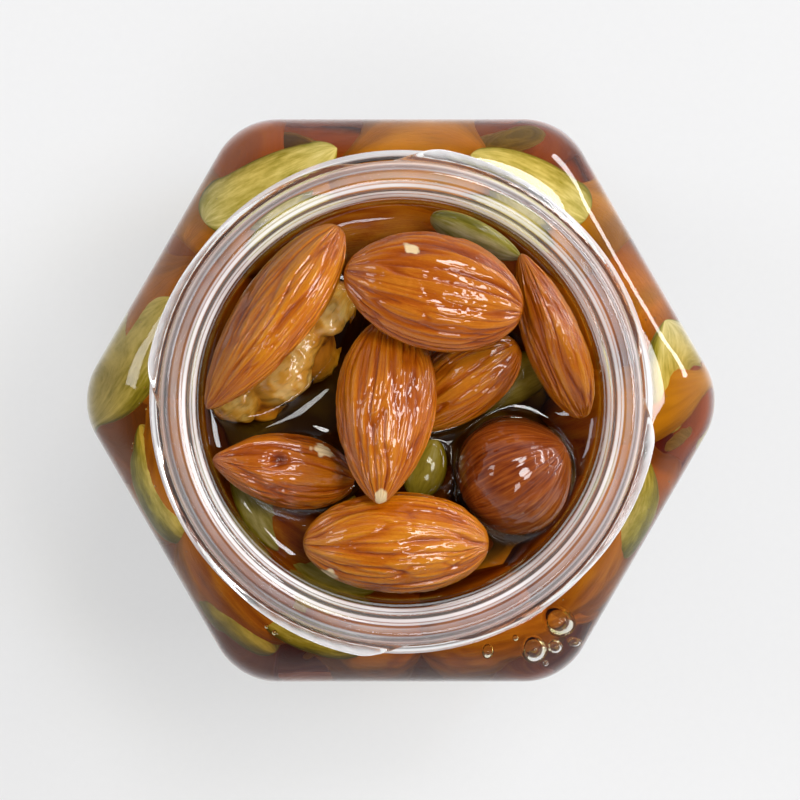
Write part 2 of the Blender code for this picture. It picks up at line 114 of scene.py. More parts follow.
class Paint:
    # A shader socket that can be reckoned with: an expression on it adds Math nodes to its tree.
    def __init__(self, tree, socket=None):
        self.tree = tree
        self.socket = socket

    def node(self, kind, settings=None, inputs=None, out=0):
        made = self.tree.nodes.new(kind)
        for name, value in (settings or {}).items():
            if name == "stops":
                for place, _ in value[1:-1]:
                    made.color_ramp.elements.new(place)
                for element, (place, shade) in zip(made.color_ramp.elements, value):
                    element.position = place
                    element.color = (*shade, 1)
            else:
                setattr(made, name, value)
        for name, value in (inputs or {}).items():
            if isinstance(value, Paint):
                self.tree.links.new(value.socket, made.inputs[name])
            else:
                made.inputs[name].default_value = value
        return Paint(self.tree, made.outputs[out])

    def reckon(self, operation, *terms):
        return self.node("ShaderNodeMath", {"operation": operation}, dict(enumerate(terms)))

    def __add__(self, other):
        return self.reckon("ADD", self, other)

    def __sub__(self, other):
        return self.reckon("SUBTRACT", self, other)

    def __rsub__(self, other):
        return self.reckon("SUBTRACT", other, self)

    def __mul__(self, other):
        return self.reckon("MULTIPLY", self, other)

    __radd__ = __add__
    __rmul__ = __mul__

    def held(self):
        return self.node("ShaderNodeClamp", {}, {"Value": self})

    def stretched(self, scales):
        return self.node("ShaderNodeVectorMath", {"operation": "MULTIPLY"}, {0: self, 1: scales})

    def clouds(self, scale, detail=3.0, roughness=0.55):
        values = {"Vector": self, "Scale": scale, "Detail": detail, "Roughness": roughness}
        return self.node("ShaderNodeTexNoise", {}, values)

    def ramp(self, *stops):
        return self.node("ShaderNodeValToRGB", {"stops": [(p, colour(c)) for p, c in stops]}, {0: self})

    def over(self, below, above):
        # This value's share of the colour above, the rest of the colour below.
        above = above if isinstance(above, Paint) else (*colour(above), 1)
        return self.node("ShaderNodeMix", {"data_type": "RGBA"}, {0: self, 6: below, 7: above}, 2)


def mark(paint, name, out=2):
    # The piece's own values by this name, as numbers, or as places where out is 1.
    return paint.node("ShaderNodeAttribute", {"attribute_name": name}, {}, out)


def placeOn(paint):
    return paint.node("ShaderNodeTexCoord", {}, {}, "Object")


def newFinish(name, values):
    # A material with one Principled shader, its fixed values set on its own sockets.
    made = bpy.data.materials.new(name)
    made.use_nodes = True
    shader = made.node_tree.nodes["Principled BSDF"]
    for socket, value in values.items():
        shader.inputs[socket].default_value = value
    return made, shader, Paint(made.node_tree)


def plug(value, shader, socket):
    value.tree.links.new(value.socket, shader.inputs[socket])


# Colours of each skin, from its furrows to its ridges
skins = {
    "almond": ((0.0, "6A2802"), (0.25, "964102"), (0.52, "BC6206"), (0.78, "D4841A"), (1.0, "E8AC4E")),
    "redAlmond": ((0.0, "501A01"), (0.25, "7A2C02"), (0.55, "9C4404"), (0.8, "BA6412"), (1.0, "D89040")),
    "hazelnut": ((0.0, "3A0E02"), (0.32, "6E2A08"), (0.58, "924614"), (0.82, "B0662A"), (1.0, "CC8C4E")),
    "walnut": ((0.0, "4E1E02"), (0.22, "90500C"), (0.5, "C67E22"), (0.78, "E6A23C"), (1.0, "FACA78")),
    "kernel": ((0.0, "6A5406"), (0.35, "9C8214"), (0.65, "C2A632"), (1.0, "E2CC7C")),
    "paleKernel": ((0.0, "5E6418"), (0.3, "9A9A48"), (0.65, "DAD6AC"), (1.0, "FFFBF0")),
    "core": ((0.0, "7A4210"), (0.4, "B4741E"), (0.7, "D09A38"), (1.0, "C8A848")),
    # Painted glow: the gold that sunk pieces are mixed towards and send out
    "paintedHoneyGlow": ((0.3, "74520E"), (0.45, "AE7A18"), (0.58, "CC9426"), (0.72, "8E8220")),
}

# Painted shade: the dark colour each turns to deep in the mouth
paintedDeepShades = {"almond": "240802", "hazelnut": "1C0804", "walnut": "2A1604", "kernel": "1C1202",
              "core": "1E0802"}
walnutVein, almondFlesh = "8B6230", "EBCFA0"

# Painted glow: what of its own colour a piece sends out, standing in for light that the honey round it
# would scatter
paintedGlowStrength = {"nuts": 0.22, "core": 0.3}

# The honey that wets a nut where it stands out of the rest
film = {"Specular IOR Level": 0.05, "Coat Roughness": 0.035, "Coat IOR": 1.5}


def inHoney(paint, shade, paintedDark, shader, paintedGoldShare=0.6):
    # Painted shade makes pieces deep in the mouth dark. The others get a painted golden glow, in colour
    # and emission, standing in for light that the honey round them would scatter.
    paintedGold = placeOn(paint).clouds(70, 3.0).ramp(*skins["paintedHoneyGlow"])
    shade = (mark(paint, "glow") * paintedGoldShare).over(shade, paintedGold)
    # Painted shade: mixed towards the dark colour where the shade mark is below 1
    shade = (1 - mark(paint, "shade")).over(shade, paintedDark)
    plug(shade, shader, "Base Color")
    plug(mark(paint, "glow").over((0, 0, 0, 1), shade), shader, "Emission Color")
    plug(mark(paint, "bare"), shader, "Coat Weight")
    shader.inputs["Emission Strength"].default_value = paintedGlowStrength["nuts"]


def bumped(paint, height, shader, strength, depth):
    values = {"Height": height, "Strength": strength, "Distance": depth * mm}
    plug(paint.node("ShaderNodeBump", {}, values), shader, "Normal")


def clearInPlaces(made, paint, surface):
    # Glass and honey bend light alike, so it goes straight on where they touch, and so does a shadow ray.
    tree = made.node_tree
    through = paint.node("ShaderNodeBsdfTransparent")
    shadowRay = paint.node("ShaderNodeLightPath", {}, {}, "Is Shadow Ray")
    share = (mark(paint, "touching") + shadowRay).held()
    both = paint.node("ShaderNodeMixShader", {}, {0: share, 1: surface, 2: through})
    tree.links.new(both.socket, tree.nodes["Material Output"].inputs["Surface"])


clear = {"Roughness": 0.0, "Transmission Weight": 1.0}
glassLook = {"IOR": 1.5, "Base Color": (0.985, 0.99, 0.985, 1)}
# The colour of the painted highlights and sheen on the glass
paintedSheenColour = (0.93, 0.91, 0.92, 1)


def glassFinish():
    made, shader, paint = newFinish("clearGlass", {**clear, **glassLook})
    place = placeOn(paint)
    bumped(paint, place.stretched((1, 1, 2.5)).clouds(260, 2.0), shader, 0.25, 0.05)
    # A white diffuse surface mixed into the glass where its mark says: painted highlights and sheen
    pale = paint.node("ShaderNodeBsdfDiffuse", {}, {"Color": paintedSheenColour})
    share = (mark(paint, "pale") * (place.clouds(150, 2.0) * 0.5 + 0.75)).held()
    plain = Paint(made.node_tree, shader.outputs[0])
    clearInPlaces(made, paint, paint.node("ShaderNodeMixShader", {}, {0: share, 1: plain, 2: pale}))
    return made


honeyLook = {"IOR": 1.49, "Base Color": (1, 1, 1, 1)}
honeyDepth = {"Color": (0.91, 0.78, 0.06, 1), "Density": 280.0}


def honeyFinish():
    made, shader, paint = newFinish("honey", {**clear, **honeyLook})
    inside = paint.node("ShaderNodeVolumeAbsorption", {}, honeyDepth)
    made.node_tree.links.new(inside.socket, made.node_tree.nodes["Material Output"].inputs["Volume"])
    clearInPlaces(made, paint, Paint(made.node_tree, shader.outputs[0]))
    return made


def almondFinish():
    made, shader, paint = newFinish("almondSkin", {"Roughness": 0.42, **film})
    grain = mark(paint, "grain", 1)
    fibres = grain.stretched((0.7, 4.0, 4.0)).clouds(3.0, 5.0, 0.62)
    broad = grain.stretched((0.6, 1.2, 1.2)).clouds(1.3, 3.0)
    dust = grain.clouds(16.0, 3.0)
    share = mark(paint, "ridge") * 0.55 + fibres * 0.46 + broad * 0.34 + dust * 0.36 - 0.40
    red = (mark(paint, "tone") * 0.85 + (dust - 0.5) * 0.3).held()
    shade = red.over(share.ramp(*skins["almond"]), share.ramp(*skins["redAlmond"]))
    shade = mark(paint, "chip").held().over(shade, almondFlesh)
    inHoney(paint, shade, paintedDeepShades["almond"], shader)
    bumped(paint, fibres + dust * 0.35, shader, 0.45, 0.14)
    return made


def hazelnutFinish():
    made, shader, paint = newFinish("hazelnutSkin", {"Roughness": 0.4, **film})
    grain = mark(paint, "grain", 1)
    streaks = grain.stretched((0.5, 2.2, 2.2)).clouds(2.6, 5.0, 0.6)
    broad = grain.clouds(0.8, 2.0)
    share = streaks * 1.3 + broad * 0.45 + mark(paint, "ridge") * 0.25 - 0.50
    inHoney(paint, share.ramp(*skins["hazelnut"]), paintedDeepShades["hazelnut"], shader)
    bumped(paint, streaks, shader, 0.35, 0.12)
    return made


def walnutFinish():
    made, shader, paint = newFinish("walnutSkin", {"Roughness": 0.45, **film})
    grain = mark(paint, "grain", 1)
    fine = grain.clouds(2.2, 5.0, 0.6)
    veins = grain.stretched((1.0, 1.6, 1.6)).clouds(4.5, 3.0)
    share = mark(paint, "ridge") * 0.75 + fine * 0.5 - 0.02
    shade = ((veins - 0.56) * 3.0).held().over(share.ramp(*skins["walnut"]), walnutVein)
    inHoney(paint, shade, paintedDeepShades["walnut"], shader)
    bumped(paint, fine, shader, 0.4, 0.12)
    return made


def kernelFinish():
    made, shader, paint = newFinish("pumpkinKernel", {"Roughness": 0.38, **film})
    grain = mark(paint, "grain", 1)
    lines = grain.stretched((0.5, 2.2, 2.2)).clouds(2.6, 4.0)
    patches = grain.clouds(1.6, 4.0, 0.65)
    share = mark(paint, "ridge") * 0.70 + lines * 0.40 + patches * 1.15 - 0.82
    shade = mark(paint, "tone").over(share.ramp(*skins["kernel"]), share.ramp(*skins["paleKernel"]))
    inHoney(paint, shade, paintedDeepShades["kernel"], shader, paintedGoldShare=0.1)
    bumped(paint, lines, shader, 0.25, 0.08)
    return made


def coreFinish():
    # Painted shade: dark where the outside mark is 0, under the bore near the crown. Elsewhere the colour
    # is also sent out as a painted glow.
    made, shader, paint = newFinish("sunkNuts", {"Roughness": 0.5})
    broad = placeOn(paint).clouds(110, 3.0)
    fine = placeOn(paint).clouds(900, 3.0)
    share = broad * 0.9 + fine * 0.3 - 0.2
    shade = (1 - mark(paint, "outside")).over(share.ramp(*skins["core"]), paintedDeepShades["core"])
    plug(shade, shader, "Base Color")
    plug(shade, shader, "Emission Color")
    shader.inputs["Emission Strength"].default_value = paintedGlowStrength["core"]
    bumped(paint, broad + fine * 0.3, shader, 0.4, 0.3)
    return made


# The glass

# The lobes of the thread run clockwise: where the first starts, how far each runs and how long its
# two ends are, all in degrees.
jar = dict(
    flats=66.4 / 2, corner=8.2, height=83.0, wall=2.4, base=4.0, recess=0.9, footIn=6.5, heel=3.4,
    wallTop=60.0, neckFoot=66.6, neckR=27.4, boreR=23.3, lipOut=1.4, lipIn=2.2,
    beadZ=72.9, beadR=29.0, beadHalf=1.5, starts=4, first=94.0, span=86.0,
    threadZ=80.2, drop=3.4, half=1.35, depth=1.8, tail=0.75, startLong=14, endLong=12,
    footCorner=1.7, centreIn=14.5, centreCorner=1.6, innerHeel=2.8, steps=360)


def ringShares():
    # Each sixth of the way round has ten shares: six turn round the corner, four follow the flat.
    share = np.arange(jar["steps"]) * 60 / jar["steps"]
    return share // 10, share % 10


def hexRing(flats, corner):
    # Corner arcs of 60 degrees about points on the diagonals, joined by straight flats.
    sixth, share = ringShares()
    middle = np.radians(60 * sixth)
    reach = (flats - corner) / math.cos(math.pi / 6)
    turn = middle + np.radians(np.minimum(share, 6) * 10 - 30)
    arc = np.stack([np.cos(middle), np.sin(middle)], 1) * reach
    arc = arc + corner * np.stack([np.cos(turn), np.sin(turn)], 1)
    after, end = middle + math.pi / 3, middle + math.pi / 6
    nextArc = np.stack([np.cos(after), np.sin(after)], 1) * reach
    nextArc = nextArc + corner * np.stack([np.cos(end), np.sin(end)], 1)
    return arc + (nextArc - arc) * np.clip((share - 6) / 4, 0, 1)[:, None]


def roundRing(radius):
    # A circle, or a wavy one where the radius is an array, with its steps matched to hexRing's.
    sixth, share = ringShares()
    turn = np.radians(60 * sixth + (share - 3) * 6)
    return np.stack([radius * np.cos(turn), radius * np.sin(turn)], 1)


def threadDepth(z):
    # Four lobes that start blunt, drop as they run clockwise, and taper to their end.
    sixth, share = ringShares()
    turn = 60 * sixth + (share - 3) * 6
    out = np.zeros(len(turn))
    for k in range(jar["starts"]):
        along = (jar["first"] - k * 360 / jar["starts"] - turn) % 360
        part = along / jar["span"]
        depth = jar["depth"] + (jar["tail"] - jar["depth"]) * smooth(part)
        ends = smooth(along / jar["startLong"]) * smooth((jar["span"] - along) / jar["endLong"] + 0.2)
        lift = 1 - np.abs(z - (jar["threadZ"] - jar["drop"] * part)) / jar["half"]
        out = np.maximum(out, np.where(part < 1, depth * ends * smooth(lift * 1.4), 0))
    return out


def glassRows():
    # Rings from the underside, out and up the wall, over the lip, and down the inside.
    flats, corner, wall = jar["flats"], jar["corner"], jar["wall"]
    outside, neck = hexRing(flats, corner), roundRing(jar["neckR"])
    inside, bore = hexRing(flats - wall, corner - wall), roundRing(jar["boreR"])
    rows = [(hexRing(flats - jar["centreIn"], jar["centreCorner"]), jar["recess"])]
    for t in np.linspace(0, math.pi, 9):
        inset = jar["footIn"] + 0.5 + 0.5 * math.cos(t)
        rows.append((hexRing(flats - inset, jar["footCorner"]), jar["recess"] * (0.5 + 0.5 * math.cos(t))))
    for t in np.linspace(0, math.pi / 2, 12):
        inset = jar["heel"] * (1 - math.sin(t))
        rows.append((hexRing(flats - inset, corner - inset), jar["heel"] * (1 - math.cos(t))))
    rows += [(outside, z) for z in np.linspace(jar["heel"], jar["wallTop"], 12)[1:]]
    for t in np.linspace(0, math.pi / 2, 26)[1:]:
        share = 1 - math.cos(t)
        z = jar["wallTop"] + (jar["neckFoot"] - jar["wallTop"]) * math.sin(t)
        rows.append((outside * (1 - share) + neck * share, z))
    for side in np.linspace(-1, 1, 17):
        rise = math.cos(side * math.pi / 2) ** 0.8
        radius = jar["neckR"] + (jar["beadR"] - jar["neckR"]) * rise
        rows.append((roundRing(radius), jar["beadZ"] + side * jar["beadHalf"]))
    low = jar["threadZ"] - jar["drop"] - jar["half"]
    for z in np.linspace(low, jar["threadZ"] + jar["half"], 30):
        rows.append((roundRing(jar["neckR"] + threadDepth(z)), z))
    for t in np.linspace(0, math.pi / 2, 10):
        radius = jar["neckR"] - jar["lipOut"] * (1 - math.cos(t))
        rows.append((roundRing(radius), jar["height"] - jar["lipOut"] * (1 - math.sin(t))))
    for t in np.linspace(math.pi / 2, 0, 60):
        radius = jar["boreR"] + jar["lipIn"] * (1 - math.cos(t))
        rows.append((roundRing(radius), jar["height"] - jar["lipIn"] * (1 - math.sin(t))))
    return rows + innerRows(inside, bore, 0)


def innerRows(inside, bore, grow):
    # The inner face from the top of the bore down to the middle of the base, grown into the glass.
    flats, corner, wall = jar["flats"], jar["corner"], jar["wall"]
    foot, top = jar["neckFoot"] - wall * 0.9, jar["wallTop"] - wall * 0.5
    rows = [(bore, z) for z in np.linspace(jar["height"] - jar["lipIn"], foot, 10)[1:-1]]
    for t in np.linspace(math.pi / 2, 0, 24):
        share = 1 - math.cos(t)
        rows.append((inside * (1 - share) + bore * share, top + grow + (foot - top) * math.sin(t)))
    heel = jar["innerHeel"]
    rows += [(inside, z) for z in np.linspace(top, jar["base"] + heel, 12)[1:-1]]
    for t in np.linspace(math.pi / 2, 0, 10):
        inset = heel * (1 - math.sin(t))
        ring = hexRing(flats - wall - inset + grow, max(corner - wall - inset, jar["centreCorner"]))
        rows.append((ring, jar["base"] - grow + heel * (1 - math.cos(t))))
    return rows


def asPoints(rows, first, last):
    body = np.vstack([np.column_stack([ring, np.broadcast_to(z, len(ring))]) for ring, z in rows])
    return np.vstack([[first], body, [last]])


# Painted highlight rings on the lip, each by radius, half its width and how pale it is
paintedLipRings = (
    (23.50, 0.16, 0.72), (23.84, 0.11, 0.55), (24.62, 0.20, 0.75), (25.02, 0.13, 0.52),
    (25.50, 0.07, 0.28), (25.95, 0.08, 0.20), (26.55, 0.15, 0.35), (27.05, 0.16, 0.45))

# How pale the painted sheen makes the rest of the glass: the lip, the outside of the thread and the bead,
# and the wall's top
paintedVeil = dict(lipDeep=2.4, lip=0.05, threadOut=0.7, threadWide=0.5, threadLeast=0.2, threadMore=0.5,
            wallTop=0.26, lift=0.8, above=2.6, below=3.0)


def paintedSheenShare(points):
    # Painted highlight rings over the lip, uneven round it, a painted sheen over the thread and one round
    # the shoulder.
    out = np.hypot(points[:, 0], points[:, 1])
    high = points[:, 2] > jar["height"] - paintedVeil["lipDeep"]
    pale = paintedVeil["lip"] * high * (out > jar["boreR"] + 0.2)
    for radius, wide, share in paintedLipRings:
        waver = 0.55 + 0.8 * noise(points * (0.14, 0.14, 0) + radius * 7, 21)
        pale = np.maximum(pale, share * waver * smooth(1.5 - np.abs(out - radius) / wide) * high)
    edge = smooth((out - jar["neckR"] - paintedVeil["threadOut"]) / paintedVeil["threadWide"])
    waver = paintedVeil["threadLeast"] + paintedVeil["threadMore"] * noise(points * (0.1, 0.1, 0), 22)
    pale = np.maximum(pale, edge * waver * (points[:, 2] > jar["beadZ"]))
    past = points[:, 2] - jar["wallTop"] - paintedVeil["lift"]
    rim = smooth(1 - np.where(past > 0, past / paintedVeil["above"], -past / paintedVeil["below"]))
    return np.maximum(pale, paintedVeil["wallTop"] * rim)


def buildGlass():
    rows = glassRows()
    points = asPoints(rows, (0, 0, jar["recess"]), (0, 0, jar["base"]))
    inner = len(innerRows(roundRing(1), roundRing(1), 0))
    touching = np.zeros(len(points))
    touching[-1 - inner * jar["steps"]:] = 1
    touching = touching * (points[:, 2] < honey["level"] + honey["lap"])
    marks = {"pale": paintedSheenShare(points), "touching": touching}
    faces = skinFaces(len(rows), jar["steps"])
    makePiece("glass", points, faces, glassFinish(), ["jar"], marks)
    print("glass:", len(rows), "rings")


# Nuts and seeds

kinds = {
    "almond": dict(size=(22.0, 12.4, 8.0), blunt=0.50, tip=0.66, power=1.0, slot="almond_skin"),
    "plumpAlmond": dict(size=(22.0, 13.0, 8.0), blunt=0.50, tip=0.54, power=1.0, slot="almond_skin"),
    "hazelnut": dict(size=(15.6, 14.0, 14.0), blunt=0.50, tip=0.56, power=1.0, slot="hazelnut_skin"),
    "seed": dict(size=(14.5, 7.6, 2.8), blunt=0.50, tip=0.66, power=0.8, slot="pumpkin_kernel"),
    "walnut": dict(size=(24.0, 17.0, 11.0), blunt=0.46, tip=0.46, power=1.0, slot="walnut_skin"),
}


def halfWidth(s, kind):
    # A power of the way from each end, scaled so that the widest place is 1.
    a, b = kinds[kind]["blunt"], kinds[kind]["tip"]
    peak = a / (a + b)
    return s ** a * (1 - s) ** b / (peak ** a * (1 - peak) ** b)


def roundLength(s, turn, length, across, thick):
    # Places round an axis, each by its share of the length and its turn, at these half widths.
    return np.stack([s * length, across * np.cos(turn), thick * np.sin(turn)], -1)


def walnutLobes(s, turn):
    # Folds along and across the half, and a groove down the middle of its upper side.
    folds = 0.11 * np.cos(5 * math.pi * s) * np.cos(3 * turn + 0.6)
    groove = -0.16 * np.exp(-((turn - math.pi / 2) / 0.35) ** 2)
    return 1 + folds + groove + 0.05 * np.cos(4 * turn + 7 * s)


def plainForm(kind, size, rings, across):
    # The plain form on a grid: s runs from the blunt end to the tip, turn runs round the length.
    s = (1 - np.cos(math.pi * np.arange(1, rings) / rings)) / 2
    s, turn = np.meshgrid(s, 2 * math.pi * np.arange(across) / across, indexing="ij")
    half = halfWidth(s, kind)
    if kind == "walnut":
        half = half * walnutLobes(s, turn)
    thick = size[2] / 2 * half ** kinds[kind]["power"]
    return s, turn, roundLength(s - 0.5, turn, size[0], size[1] / 2 * half, thick)


def almondRelief(s, turn, size, seed, fine):
    # Furrows where a noise, stretched from end to end and bent by another, crosses its middle value.
    around = size[1] * 0.40
    place = roundLength(s, turn, size[0] * 0.09, around, around)
    bend = noise(place * (1.6, 0.45, 0.45), seed)[..., None] * (0.5, 1.7, 1.7)
    broad = noise(place * (1.0, 0.4, 0.4) + 9, seed + 1)
    furrow = 1 - smooth(np.abs(noise(place + bend, seed + 2) - 0.5) / 0.14)
    crease = 1 - smooth(np.abs(noise(place * (1.3, 1.9, 1.9) + bend * 1.4, seed + 4) - 0.5) / 0.16)
    thin = noise(place * (2.2, 4.0, 4.0) + bend * 2, seed + 3)
    pits = noise(roundLength(s, turn, size[0], size[1] / 2, size[1] / 2) * 1.9, seed + 5)
    end = smooth(np.minimum(s / 0.05, (1 - s) / 0.08))
    depth = (0.20 * furrow + 0.12 * crease + 0.30 * broad + fine * (0.10 * thin + 0.07 * pits)) * end
    return depth, 1.05 - 0.50 * furrow - 0.34 * crease - 0.22 * thin


def hazelnutRelief(s, turn, size, seed, fine):
    # Low ripples that run from end to end.
    place = roundLength(s, turn, 2.4, 3.4, 3.4)
    bend = noise(place * 0.6, seed)[..., None] * 1.4
    value = noise(place + bend, seed + 1)
    ripple = noise(place * (1.6, 2.6, 2.6) + bend, seed + 2)
    pits = noise(place * (6.0, 4.0, 4.0), seed + 3)
    depth = 0.40 * value + 0.16 * ripple + 0.05 * pits
    return depth * smooth(s / 0.1) * smooth((1 - s) / 0.1), 1 - value * 0.6 - ripple * 0.4


def seedRelief(s, turn, size, seed, fine):
    # A rounded rim round a slightly hollow side.
    flat = np.abs(np.sin(turn))
    waves = noise(roundLength(s, turn, 3, 1.2, 1.2), seed)
    return 0.12 * waves + 0.1 * smooth((flat - 0.5) * 2), smooth(flat * 1.2) * 0.8 + 0.2 * s


lobeCount = 34


def walnutRelief(s, turn, size, seed, fine):
    # Lobes of many sizes: each point's height is that of the nearest lobe's dome, with creases between.
    rng = np.random.default_rng(seed)
    half = halfWidth(s, "walnut")
    place = roundLength(s - 0.5, turn, size[0], size[1] / 2 * half, size[2] / 2 * half)
    bent = place + (noise(place * 0.45 + 5, seed)[..., None] - 0.5) * (2.6, 2.2, 2.2)
    best = np.full(s.shape, -9.0)
    for along, way in zip(rng.uniform(0.05, 0.95, lobeCount), rng.uniform(0, 2 * math.pi, lobeCount)):
        out = halfWidth(along, "walnut")
        middle = roundLength(along - 0.5, way, size[0], size[1] / 2 * out, size[2] / 2 * out)
        reach = rng.uniform(0.15, 0.34) * size[1]
        best = np.maximum(best, 1 - ((bent - middle) ** 2).sum(-1) / reach ** 2)
    dome = smooth((np.clip(best, -0.8, 1) + 0.8) / 1.8)
    wrinkle = noise(place * 1.5, seed + 6)
    return 1.4 * (1 - dome) + 0.35 * wrinkle, dome * 0.9 + wrinkle * 0.5 - 0.25


reliefs = {"almond": almondRelief, "plumpAlmond": almondRelief, "hazelnut": hazelnutRelief,
           "seed": seedRelief, "walnut": walnutRelief}


def nutPoints(kind, size, rings, across, seed, fine=1.0):
    # The plain form with its relief cut inwards, its two end points, and its marks for the finish.
    s, turn, body = plainForm(kind, size, rings, across)
    depth, ridge = reliefs[kind](s, turn, size, seed, fine)
    radial = np.sqrt(body[..., 1] ** 2 + body[..., 2] ** 2) + 1e-6
    body[..., 1:] *= (1 - np.minimum(depth, radial * 0.45) / radial)[..., None]
    ends = np.array([[-size[0] / 2, 0, 0], [size[0] / 2, 0, 0]])
    points = np.vstack([ends[:1], body.reshape(-1, 3), ends[1:]])
    shift = np.random.default_rng(seed + 50).uniform(0, 40, 3)
    grain = roundLength(s, turn, size[0] * 0.2, size[1] / 4, size[1] / 4)
    grain = np.vstack([[[0, 0, 0]], grain.reshape(-1, 3), [[size[0] * 0.2, 0, 0]]]) + shift
    ridge = np.concatenate([[0.6], ridge.ravel(), [0.6]])
    return points, {"grain": grain, "ridge": ridge}


def turned(heading, pitch, roll):
    # Points the tip along the heading, lifts it by the pitch, then rolls it.
    whole = Matrix.Identity(3)
    for angle, axis in ((heading, "Z"), (-pitch, "Y"), (roll, "X")):
        whole = whole @ Matrix.Rotation(math.radians(angle), 3, axis)
    return np.array(whole)


# Pieces at the top: kind, x, y, heading, pitch, roll, size, a seed for the relief, how red the skin is
top = {
    "hazelnut": ("hazelnut", 13.4, -8.6, 30, 15, 0, (13.6, 14.6, 13.6), 5, 0.0),
    "walnut_half": ("walnut", -13.9, 5.9, 225, 0, 0, (21.5, 11.2, 7.8), 3, 0.0),
    "almond_lower_left": ("almond", -13.7, -8.0, 171, 18, 0, (17.4, 9.3, 7.4), 21, 0.8),
    "almond_middle_right": ("almond", 6.5, 1.8, 214, -12, 10, (17.6, 9.4, 6.8), 31, 0.35),
    "almond_right": ("almond", 17.5, 7.6, 111, 12, -66, (20.8, 10.0, 6.6), 41, 0.35),
    "almond_bottom": ("plumpAlmond", -0.6, -16.4, 180, 0, 6, (21.6, 12.6, 8.0), 51, 0.0),
    "pumpkin_seed_middle": ("seed", 2.9, -7.8, 70, 0, 0, (7.0, 4.8, 2.6), 61, 0.0),
    "almond_centre": ("almond", -1.8, -1.0, 266, 12, 0, (22.0, 12.0, 7.6), 71, 0.5),
    "almond_left": ("almond", -14.8, 9.7, 234, 0, 50, (26.0, 11.2, 7.6), 81, 0.0),
    "almond_top": ("plumpAlmond", 3.7, 12.7, 167, 0, 0, (21.0, 13.8, 7.0), 91, 0.75),
    "pumpkin_seed_top": ("seed", 8.7, 19.1, -25, 0, 66, (11.6, 6.8, 2.8), 101, 0.5),
}

# Where the skin is chipped, by x, y and radius, and where it is dented, by x, y, radius and depth
chips = {
    "almond_lower_left": (-8.9, -5.7, 0.6),
    "almond_bottom": (-8.6, -20.2, 0.6),
    "almond_centre": (-2.3, -11.4, 0.6),
    "almond_top": (1.2, 17.6, 0.45),
    "pumpkin_seed_top": (3.9, 21.6, 0.8),
}
dents = {
    "almond_lower_left": ((-14.2, -6.8, 0.9, 0.9),),
    "almond_centre": ((-1.9, -5.3, 0.9, -0.25), (-1.9, -5.3, 0.5, 0.4)),
}

# Painted shade under other pieces: how bright a piece is that other ones stand over
paintedShadeUnder = {"pumpkin_seed_middle": 0.6}


def topPlace(name):
    # Where a top piece lies: its own x and y, and the height that puts it in the middle of its node's box.
    kind, x, y, heading, pitch, roll, size, _, _ = top[name]
    rotation = turned(heading, pitch, roll)
    low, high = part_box(name)
    form = plainForm(kind, size, 40, 48)[2].reshape(-1, 3) @ rotation.T
    middle = (form[:, 2].min() + form[:, 2].max()) / 2
    return rotation, np.array([x, y, (low.z + high.z) / 2 / mm - middle])


def aboveHoney(points):
    # From 0 at the honey's level to 1 a little above it.
    return smooth((points[:, 2] - honey["level"]) / 0.6)


def chipShare(name, points, place, rotation):
    # 1 in the chip on the piece's upper side, its outline long, ragged and faded over a short way.
    if name not in chips:
        return np.zeros(len(points))
    x, y, radius = chips[name]
    local = (points - (x, y, 0)) * (1, 1, 0) @ rotation
    far = np.hypot(local[:, 0] / 1.9, local[:, 1]) / radius + (noise(points * 1.7, 3) - 0.5) * 0.9
    return smooth((1.25 - far) * 4) * (points[:, 2] > place[2])


def buildTop(finishes):
    for name, (kind, x, y, heading, pitch, roll, size, seed, tone) in top.items():
        rings, across = (70, 90) if kind == "seed" else (170, 240)
        points, marks = nutPoints(kind, size, rings, across, seed)
        rotation, place = topPlace(name)
        points = points @ rotation.T + place
        chip = chipShare(name, points, place, rotation)
        above = points[:, 2] > place[2]
        for dx, dy, radius, depth in dents.get(name, ()):
            share = np.exp(-(np.hypot(points[:, 0] - dx, points[:, 1] - dy) / radius) ** 2) * above
            points[:, 2] -= depth * share
            marks["ridge"] = marks["ridge"] - share * depth
        one = np.ones(len(points))
        marks.update(tone=one * tone, chip=chip, shade=one * paintedShadeUnder.get(name, 1.0))
        marks.update(glow=one * 0, bare=aboveHoney(points))
        faces = skinFaces(rings - 1, across)
        makePiece(name + "_skin", points, faces, finishes[kind], [name], marks)
    print("top pieces:", len(top))


# The heap

heap = dict(coreIn=7.4, coreR=5.0, foot=8.2, top=57.5, lump=0.11, rows=4, rowFoot=10.5, rowStep=12.0,
            rowTop=53.0, perRow=7, seedsPerRow=4, nutIn=4.8, seedIn=2.2, seed=11, gap=0.40,
            lowOnes=7, lowOut=15.0, lowZ=8.6, baseGap=1.2, steps=60, pull=0.6)

